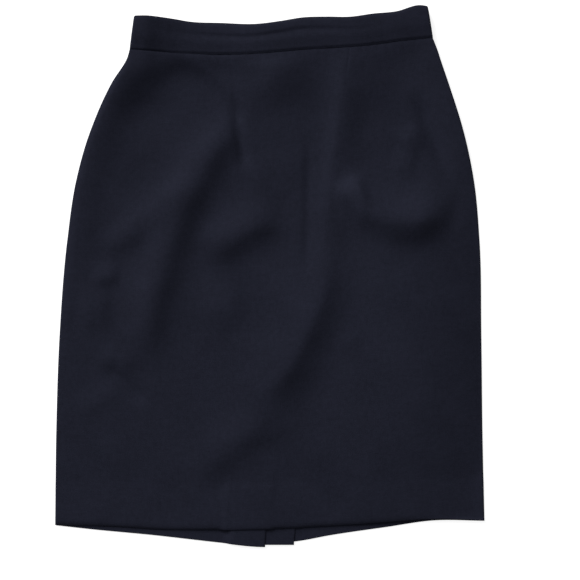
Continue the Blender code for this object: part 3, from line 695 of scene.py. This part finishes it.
def makeFront():
    width = sideLine["right"][0] - sideLine["left"][0]
    waistLeft, waistRight = bandLine["x"][0], bandLine["x"][-1]
    v = np.linspace(0, 1, int(clothSpec["length"] / clothSpec["gridStep"]))
    v = np.concatenate([frontSpec["hemRows"], v[2:-1], frontSpec["waistRows"]])
    roll = frontSpec["sideRoll"] / width
    turns = np.linspace(math.pi / 2, 0, frontSpec["rollSteps"] + 1)[:-1]
    rolled = roll * (1 - np.sin(turns))
    flat = np.linspace(roll, 1 - roll, int(width / clothSpec["gridStep"]))
    dartShares = [(dart[0] - waistLeft) / (waistRight - waistLeft) for dart in frontDarts]
    flat = finerNear(flat, dartShares, frontSpec["dartReach"], frontSpec["dartColumns"])
    u = np.concatenate([rolled, flat, 1 - rolled[::-1]])
    hemX = sideLine["left"][0] + width * u
    waistX = waistLeft + (waistRight - waistLeft) * u
    bottom = joinPoints(hemX, readTable(frontHem, "y", hemX))
    top = joinPoints(waistX, readTable(bandLine, "seam", waistX) - clothSpec["gap"] / 2)
    left = edgePoints("left", bottom[0, 1], top[0, 1], v)
    right = edgePoints("right", bottom[-1, 1], top[-1, 1], v)
    left[-1], right[-1] = top[0], top[-1]
    plan = coonsPatch(left, right, bottom, top, u, v)
    x, y = plan[..., 0], plan[..., 1]
    hemY = readTable(frontHem, "y", x)
    wall = hemWall(y, hemY)
    broad = frontBroad(x, y)
    fine = frontFine(x, y)
    edgeZ = layersBelow(x, y, hemY) + clothSpec["gap"] + readTable(frontHem, "edge", x)
    first = len(turns)
    for column, seamY in ((0, bottom[0, 1]), (-1, bottom[-1, 1])):
        seamZ = hemWall(plan[:, column, 1], seamY) - frontSpec["sideSink"]
        source = first if column == 0 else -1 - first
        for k, turn in enumerate(turns):
            at = k if column == 0 else -1 - k
            broad[:, at] = seamZ + (broad[:, source] - seamZ) * math.cos(turn)
            edgeZ[:, at] = seamZ + (edgeZ[:, source] - seamZ) * math.cos(turn)
            fine[:, at] = fine[:, source] * math.cos(turn)
    overEdge = np.clip(1 - (y - hemY) / frontSpec["edgeRollWidth"], 0, 1)
    rounding = 1 - overEdge**2
    broad = edgeZ + (broad - edgeZ) * rounding
    fine = fine * rounding
    wall = wall * (0.5 + 0.5 * rounding)
    smooth = joinPoints(x, y, broad)
    outer = joinPoints(x, y, broad + fine)
    inner = smooth - faceNormals(smooth) * wall[..., None]
    inner[0, :, :2], inner[-1, :, 1] = outer[0, :, :2], outer[-1, :, 1]
    inner[..., 2] = np.maximum(inner[..., 2], wall + clothSpec["gap"])
    for column in (0, -1):
        inner[:, column, 2] = outer[:, column, 2]
    piece = clothShell("frontCloth", outer, inner, bulges=(frontSpec["hemBulge"], 0, 0, 0))
    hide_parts("front_panel")
    return piece


# back

backSpec = {
    "ventStepAt": 0.016,  # the right back steps up this far before the seam, over the facing
    "lapStepAt": 0.006,
    "stepWidth": 0.008,
    "edgeRoll": 0.0034,  # the underlap's pressed edge thins out over this width
    "edgeDrop": 0.0011,
    "hemBulge": 0.0007,
    "underlapBulge": 0.0001,
    "edgeRows": (0.0012, 0.9985),
    "centreColumns": (0.9905, 0.9935, 0.996, 0.998, 1),
    "settle": 0.0002,
    "hemLine": 0.0003,
    "hemLineStep": 0.0015,
    "hemLineReach": 0.01,
    "dents": (0.000096, 0.028, 31),
    "smallDents": (0.000036, 0.011, 33),
}

# from the waist seam to their tips: start x y, end x y, depth, width
backDarts = {
    "left": (0.1050, 0.2640, 0.0960, 0.1320, 0.00045, 0.0011),
    "right": (-0.0820, 0.2540, -0.0880, 0.1230, 0.00045, 0.0011),
}


def backWaistY(x):
    share = np.clip((x - bandLine["x"][0]) / (bandLine["x"][-1] - bandLine["x"][0]), 0, 1)
    return readTable(bandLine, "seam", x) - backSeam["backLow"] * np.sin(math.pi * share)


def rightCentreX(y):
    ventTop = backSeam["hemY"] + backSeam["ventLength"]
    past = backSeam["underlap"] * np.clip((ventTop - y) / backSeam["underlap"], 0, 1)
    return seamX(y) - clothSpec["gap"] + past


def leftCentreX(y):
    zipEnd = backSeam["waistY"] - backSeam["zipLength"]
    return seamX(y) - backSeam["lap"] * np.clip((y - zipEnd) / backSeam["lap"], 0, 1)


def facingLevel():
    return clothSpec["hemWall"] + clothSpec["gap"]


def rightLift(x, y):
    overFacing = facingLevel() + backSeam["facingWall"] + clothSpec["gap"]
    overLap = clothSpec["wall"] + clothSpec["gap"]
    step, fromSeam = backSpec["stepWidth"], x - seamX(y)
    ventPart = overFacing * ventShare(y) * easeInOut((fromSeam + backSpec["ventStepAt"]) / step + 1)
    fromLap = fromSeam + backSeam["lap"]
    return ventPart + overLap * zipShare(y) * easeInOut((fromLap + backSpec["lapStepAt"]) / step + 1)


def backPlan(side, hem, centreX, u, v):
    waistSide = bandLine["x"][0 if side == "left" else -1]
    hemSide = sideLine[side][0]
    hemY = readTable(hem, "y", centreX(backSeam["hemY"]))
    waistY = backWaistY(centreX(backSeam["waistY"])) - clothSpec["gap"] / 2
    hemX = hemSide + (centreX(hemY) - hemSide) * u
    waistX = waistSide + (centreX(waistY) - waistSide) * u
    bottom = joinPoints(hemX, readTable(hem, "y", hemX))
    top = joinPoints(waistX, backWaistY(waistX) - clothSpec["gap"] / 2)
    seam = edgePoints(side, bottom[0, 1], top[0, 1], v)
    seam[-1] = top[0]
    centreY = bottom[-1, 1] + (top[-1, 1] - bottom[-1, 1]) * v
    centre = joinPoints(centreX(centreY), centreY)
    centre[0], centre[-1] = bottom[-1], top[-1]
    return coonsPatch(seam, centre, bottom, top, u, v)


def makeBack(name, node, side, hem, centreX, dart, lift, bulges):
    step = clothSpec["gridStep"] * clothSpec["backCoarser"]
    v = np.linspace(0, 1, int(clothSpec["length"] / step))
    v = np.sort(np.concatenate([v, backSpec["edgeRows"]]))
    u = np.linspace(0, 1, int(clothSpec["backWidth"] / step))
    u = np.concatenate([u[:-1], backSpec["centreColumns"]])
    plan = backPlan(side, hem, centreX, u, v)
    if side == "right":
        plan = plan[:, ::-1]
    x, y = plan[..., 0], plan[..., 1]
    hemY = readTable(hem, "y", x)
    under = lift(x, y)
    over = under + hemWall(y, hemY)
    nearEdge = np.clip(1 - np.abs(x - centreX(y)) / backSpec["edgeRoll"], 0, 1)
    over = over - backSpec["edgeDrop"] * (1 - np.sqrt(1 - nearEdge**2)) * ventShare(y)
    over = over - backSpec["settle"]
    over = over + dentHeight(backSpec["dents"], x, y) + dentHeight(backSpec["smallDents"], x, y)
    belowHemLine = clothSpec["hemDepth"] - (y - hemY)
    hemEdge = easeInOut(belowHemLine / backSpec["hemLineStep"]) * bell(belowHemLine, backSpec["hemLineReach"])
    over = over + backSpec["hemLine"] * hemEdge
    over = over - grooveDepth(dart, x, y)
    under = under + grooveDepth(dart, x, y)
    piece = clothShell(name, joinPoints(x, y, over), joinPoints(x, y, under), bulges=bulges)
    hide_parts(node)
    return piece


def flatOnFloor(x, y):
    return np.zeros_like(x)


facingSpec = {
    "columns": 24,
    "rows": 70,
    "bottomY": -0.3077,
    "fromVentTop": 0.010,
    "slant": 0.6,
    "fromSeam": 0.001,
    "bulge": 0.0004,
    "waves": (0.00012, 0.02, 41),
}


def makeVentFacing():
    across = np.linspace(0.0, 1.0, facingSpec["columns"])
    v = np.linspace(0.0, 1.0, facingSpec["rows"])[:, None]
    topY = backSeam["hemY"] + backSeam["ventLength"] - facingSpec["fromVentTop"]
    topY = topY - facingSpec["slant"] * backSeam["facingWidth"] * across
    y = facingSpec["bottomY"] + (topY - facingSpec["bottomY"]) * v
    x = seamX(y) + facingSpec["fromSeam"] + (backSeam["facingWidth"] - facingSpec["fromSeam"]) * across
    under = facingLevel() + dentHeight(facingSpec["waves"], x, y)
    piece = clothShell(
        "ventFacingCloth",
        joinPoints(x, y, under + backSeam["facingWall"]),
        joinPoints(x, y, under),
        bulges=(facingSpec["bulge"],) * 4,
    )
    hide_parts("vent_facing")
    return piece


# waistband

bandSpec = {
    "innerEnd": 0.030,  # both ends lap past the centre seam by these
    "outerEnd": 0.010,
    "lapLift": 0.0038,
    "lapEase": 0.016,
    "lapBefore": 1.6,  # in lengths of its ease
    "leanLeft": 0.0055,
    "leanRight": 0.0058,
    "frontStations": 190,
    "backStations": 60,
    "rollSteps": 16,
    "rollClear": 1.3,  # the back starts this many rolls in from the side
    "rowsAcross": 22,
    "edgeRows": (0.012, 0.028, 0.07, 0.975, 0.99),
    "bulges": (0, 0.0005, 0.0007, 0.0005),
    "edgeDip": 0.0013,
    "edgeDipWidth": 0.0015,
    "seamSlope": 0.0028,  # the band falls this much towards its seam
    "seamSlopeWidth": 0.012,
    "topDip": 0.0008,
    "topDipWidth": 0.0016,
    "thinnest": 0.0008,
    "seamEdge": 0.0022,  # thick enough at the seam to stand against the front's edge
    "faceShare": 0.9,
    "creaseAt": 0.61,  # share of the band's height
    "creaseAbove": 0.070,
    "creaseBelow": 0.150,
    "creaseWave": 0.03,
    "creaseTurns": 40,
    "dents": (0.00018, 0.022, 51),
    "smallDents": (0.00006, 0.009, 53),
}


def bandPlan(u, across):
    left, right = bandLine["x"][0], bandLine["x"][-1]
    x = left + (right - left) * u
    lean = bandSpec["leanLeft"] * (1 - u) - bandSpec["leanRight"] * u
    seam = readTable(bandLine, "seam", x) + clothSpec["gap"] / 2
    top = readTable(bandLine, "top", x)
    return x + lean * across, seam + (top - seam) * across


def bandStations():
    # once round the waist from lap to lap: place, share of the face's height, and lift of the inner lap
    length = bandLine["x"][-1] - bandLine["x"][0]
    seam = seamX(backSeam["waistY"]) - bandLine["x"][0]
    innerEnd, outerEnd = (seam + bandSpec["innerEnd"]) / length, (seam - bandSpec["outerEnd"]) / length
    roll = frontSpec["sideRoll"] / length
    turns = np.linspace(0, math.pi, bandSpec["rollSteps"])
    innerBack = np.linspace(innerEnd, roll * bandSpec["rollClear"], bandSpec["backStations"])
    leftTurn, rightTurn = roll * (1 - np.sin(turns[::-1])), 1 - roll * (1 - np.sin(turns))
    front = np.linspace(roll, 1 - roll, bandSpec["frontStations"])[1:-1]
    outerBack = np.linspace(1 - roll * bandSpec["rollClear"], outerEnd, bandSpec["backStations"])
    below = np.zeros(bandSpec["backStations"])
    turning = (1 + np.cos(turns)) / 2
    around = np.concatenate([innerBack, leftTurn, front, rightTurn, outerBack])
    face = np.concatenate([below, turning[::-1], np.ones(len(front)), turning, below])
    lap = np.zeros(len(around))
    pastEnd = (innerBack - outerEnd) * length / bandSpec["lapEase"] + bandSpec["lapBefore"]
    lap[: len(innerBack)] = bandSpec["lapLift"] * easeInOut(pastEnd)
    return around[None, :], face[None, :], lap[None, :]


def bandFine(across, alongX, upFromSeam, bandHeight):
    fine = -bandSpec["edgeDip"] * bell(upFromSeam, bandSpec["edgeDipWidth"])
    fine = fine - bandSpec["seamSlope"] * bell(upFromSeam, bandSpec["seamSlopeWidth"])
    fine = fine - bandSpec["topDip"] * bell(bandHeight - upFromSeam, bandSpec["topDipWidth"])
    creaseAt = bandSpec["creaseAt"] + bandSpec["creaseWave"] * np.sin(alongX * bandSpec["creaseTurns"])
    creaseWidth = np.where(across > creaseAt, bandSpec["creaseAbove"], bandSpec["creaseBelow"])
    return fine - readTable(bandLine, "crease", alongX) * bell(across - creaseAt, creaseWidth)


def makeWaistband():
    u, share, lap = bandStations()
    across = np.linspace(0, 1, bandSpec["rowsAcross"])
    across = np.sort(np.concatenate([across, bandSpec["edgeRows"]]))[:, None]
    x, y = bandPlan(u, across)
    alongX = bandLine["x"][0] + (bandLine["x"][-1] - bandLine["x"][0]) * u
    bandHeight = readTable(bandLine, "top", alongX) - readTable(bandLine, "seam", alongX)
    upFromSeam = across * bandHeight
    dents = dentHeight(bandSpec["dents"], x, y) + dentHeight(bandSpec["smallDents"], x, y)
    fine = share * (dents + bandFine(across, alongX, upFromSeam, bandHeight))
    leaning = readTable(bandLine, "lean", alongX) * (across - 0.5)
    broad = share * (readTable(bandLine, "height", alongX) + leaning) + lap
    y = y - backSeam["backLow"] * (1 - share) * np.sin(math.pi * np.clip(u, 0, 1))
    smooth = joinPoints(x, y, broad)
    outer = joinPoints(x, y, broad + fine)
    inner = smooth - faceNormals(smooth) * clothSpec["bandWall"]
    thickest = bandSpec["seamEdge"] - bandSpec["thinnest"]
    innerTop = outer[..., 2] - bandSpec["thinnest"] - thickest * bell(upFromSeam, bandSpec["edgeDipWidth"])
    onFace = share > bandSpec["faceShare"]
    inner[..., 2] = np.where(onFace, np.minimum(inner[..., 2], innerTop), inner[..., 2])
    for k in (0, -1):
        inner[:, k, 0] = outer[:, k, 0]
    inner[0, :, 1], inner[-1, :, 1] = outer[0, :, 1], outer[-1, :, 1]
    piece = clothShell("waistbandCloth", outer, inner, bulges=bandSpec["bulges"])
    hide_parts("waistband")
    return piece


# stitches and zip teeth, as rows of small rounded bars

stitchRow = {
    "pitch": 0.0027,
    "length": 0.0021,
    "halfWidth": 0.00027,
    "halfHeight": 0.00017,
    "height": 0.00002,  # half sunk into the underside of the cloth
    "turned": False,
}

stitchedAt = {
    "fromLapEdge": 0.0100,
    "belowWaist": 0.005,
    "aboveZipEnd": 0.013,
    "footClear": 0.001,
    "ventDrop": 0.008,
    "ventClear": 0.0015,
    "ventSlant": 0.6,
}

zipTeeth = {
    "pitch": 0.0011,
    "length": 0.0037,
    "halfWidth": 0.00036,
    "halfHeight": 0.00022,
    "heights": (0.0022, 0.0038),
    "fromSeam": 0.0030,
    "belowWaist": 0.016,
    "aboveEnd": 0.005,
    "turned": True,
}

barSides = 6
barRings = ((-1.0, 0.25), (-0.8, 0.8), (0.8, 0.8), (1.0, 0.25))  # places along a bar, and how full it is


def stitchedLines():
    # beside the lap of the zip and across its foot, and the slant at the top of the vent
    topY = backSeam["waistY"] - stitchedAt["belowWaist"]
    footY = backSeam["waistY"] - backSeam["zipLength"] + stitchedAt["aboveZipEnd"]
    inset = stitchedAt["fromLapEdge"] - backSeam["lap"]
    ventY = backSeam["hemY"] + backSeam["ventLength"] - stitchedAt["ventDrop"]
    ventX = seamX(ventY) + stitchedAt["ventClear"]
    slant = backSeam["underlap"] - 2 * stitchedAt["ventClear"]
    return [
        (seamX(topY) + inset, topY, seamX(footY) + inset, footY),
        (seamX(footY) + inset, footY, leftCentreX(footY) + stitchedAt["footClear"], footY),
        (ventX, ventY, ventX + slant, ventY - slant * stitchedAt["ventSlant"]),
    ]


def barRow(line, height, row):
    startX, startY, endX, endY = line
    length = math.hypot(endX - startX, endY - startY)
    along = np.array([(endX - startX) / length, (endY - startY) / length, 0.0])
    across = np.array([-along[1], along[0], 0.0])
    long, wide = (-across, along) if row["turned"] else (along, across)
    sides = barSides
    points, faces = [], []
    for k in range(int(length / row["pitch"])):
        middle = np.array([startX, startY, height]) + along * (k + 0.5) * row["pitch"]
        first = len(points)
        for place, fullness in barRings:
            for side in range(sides):
                turn = 2 * math.pi * side / sides
                out = wide * row["halfWidth"] * math.cos(turn)
                rise = np.array([0, 0, row["halfHeight"] * math.sin(turn)])
                points.append(middle + long * place * row["length"] / 2 + (out + rise) * fullness)
        for ring in range(len(barRings) - 1):
            here = first + ring * sides
            for side in range(sides):
                after = (side + 1) % sides
                faces.append((here + side, here + after, here + after + sides, here + side + sides))
        faces.append(tuple(first + side for side in reversed(range(sides))))
        faces.append(tuple(first + (len(barRings) - 1) * sides + side for side in range(sides)))
    return points, faces


def makeBars(name, rows):
    points, faces = [], []
    for rowPoints, rowFaces in rows:
        faces += [tuple(corner + len(points) for corner in face) for face in rowFaces]
        points += rowPoints
    mesh = bpy.data.meshes.new(name)
    mesh.from_pydata([tuple(point) for point in points], [], faces)
    return finishPiece(name, mesh, np.array(points))


def makeStitches():
    rows = [barRow(line, stitchRow["height"], stitchRow) for line in stitchedLines()]
    return makeBars("backStitches", rows)


def makeZipTeeth():
    bottomY = backSeam["waistY"] - backSeam["zipLength"] + zipTeeth["aboveEnd"]
    topY = backSeam["waistY"] - zipTeeth["belowWaist"]
    offset = zipTeeth["fromSeam"]
    line = (seamX(bottomY) + offset, bottomY, seamX(topY) + offset, topY)
    return makeBars("zipTeeth", [barRow(line, height, zipTeeth) for height in zipTeeth["heights"]])


# camera, lights and floor

cameraSpec = {
    "pixels": 580,
    "metresPerPixel": 0.001145,
    "originX": 269.5,  # picture column and row of the frame's origin
    "originY": 276.5,
    "cameraHeight": 1.60,
    "clothHeight": 0.006,
    "sensor": 36.0,
}

lightSpec = {
    "keyDirection": (-0.62, 0.78),
    "keyElevation": 31,
    "keyDistance": 9.0,
    "keySize": 5.0,
    "keyPower": 600,
    "skyStrength": 0.20,
}


def makeCamera():
    half = cameraSpec["pixels"] / 2
    scale = cameraSpec["metresPerPixel"]
    data = bpy.data.cameras.new("overheadCamera")
    data.sensor_width = cameraSpec["sensor"]
    aboveCloth = cameraSpec["cameraHeight"] - cameraSpec["clothHeight"]
    data.lens = data.sensor_width * aboveCloth / (2 * half * scale)
    camera = bpy.data.objects.new("overheadCamera", data)
    camera.location = (
        (half - cameraSpec["originX"]) * scale,
        (cameraSpec["originY"] - half) * scale,
        cameraSpec["cameraHeight"],
    )
    bpy.context.scene.collection.objects.link(camera)
    bpy.context.scene.camera = camera


def makeLights():
    rise = math.radians(lightSpec["keyElevation"])
    sideX, sideY = lightSpec["keyDirection"]
    far = lightSpec["keyDistance"]
    data = bpy.data.lights.new("windowLight", "AREA")
    data.shape = "DISK"
    data.size = lightSpec["keySize"]
    data.energy = lightSpec["keyPower"]
    key = bpy.data.objects.new("windowLight", data)
    key.location = (sideX * math.cos(rise) * far, sideY * math.cos(rise) * far, math.sin(rise) * far)
    key.rotation_mode = "QUATERNION"
    key.rotation_quaternion = key.location.to_track_quat("Z", "Y")
    bpy.context.scene.collection.objects.link(key)
    world = bpy.data.worlds.new("softRoom")
    world.use_nodes = True
    background = world.node_tree.nodes["Background"]
    background.inputs["Color"].default_value = (1, 1, 1, 1)
    seen = addNode(world.node_tree, "ShaderNodeLightPath").outputs["Is Camera Ray"]
    sky = lightSpec["skyStrength"]
    strength = mathNode(world.node_tree, "MULTIPLY_ADD", seen, 1 - sky, sky)
    world.node_tree.links.new(strength, background.inputs["Strength"])
    bpy.context.scene.world = world
    bpy.context.scene.view_settings.view_transform = "Standard"
    bpy.context.scene.view_settings.look = "None"


def makeFloor():
    half, level = floorSpec["half"], floorSpec["level"]
    mesh = bpy.data.meshes.new("floor")
    corners = [(-half, -half, level), (half, -half, level), (half, half, level), (-half, half, level)]
    mesh.from_pydata(corners, [], [(0, 1, 2, 3)])
    floor = bpy.data.objects.new("floor", mesh)
    bpy.context.scene.collection.objects.link(floor)
    floor.data.materials.append(makeFloorMaterial())


makeCamera()
makeLights()
makeFloor()
print("camera, lights and floor made")

crepeGroup = makeCrepeGroup()
navyCrepe = makeClothMaterial("navyCrepe", crepeGroup)
dullNickel = makeMetalMaterial("dullNickel")
navyTape = makeClothMaterial("navyTape", crepeGroup, -0.2)
navyThread = makeClothMaterial("navyThread", crepeGroup, 0.5)
print("materials made")

clothPieces = [
    makeFront(),
    makeBack(
        "leftBackCloth", "back_left", "right", leftBackHem, leftCentreX, backDarts["left"], flatOnFloor,
        (backSpec["hemBulge"], 0, 0, 0),
    ),
    makeBack(
        "rightBackCloth", "back_right", "left", rightBackHem, rightCentreX, backDarts["right"], rightLift,
        (backSpec["hemBulge"], backSpec["underlapBulge"], 0, 0),
    ),
    makeVentFacing(),
    makeWaistband(),
]
for piece in clothPieces:
    piece.data.materials.append(navyCrepe)
    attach(piece, "root")
print("cloth made:", ", ".join(piece.name for piece in clothPieces))

for bars, slot in ((makeStitches(), "cloth"), (makeZipTeeth(), "zip")):
    bars.data.materials.append(navyThread)
    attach(bars, "root")
print("stitches and zip teeth made")

keptNodes = {"zip_slider": dullNickel, "waist_hook": dullNickel, "waist_bar": dullNickel, "zip_tape": navyTape}
for node, material in keptNodes.items():
    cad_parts[node].data.materials.clear()
    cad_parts[node].data.materials.append(material)
print("zip and hook finished")
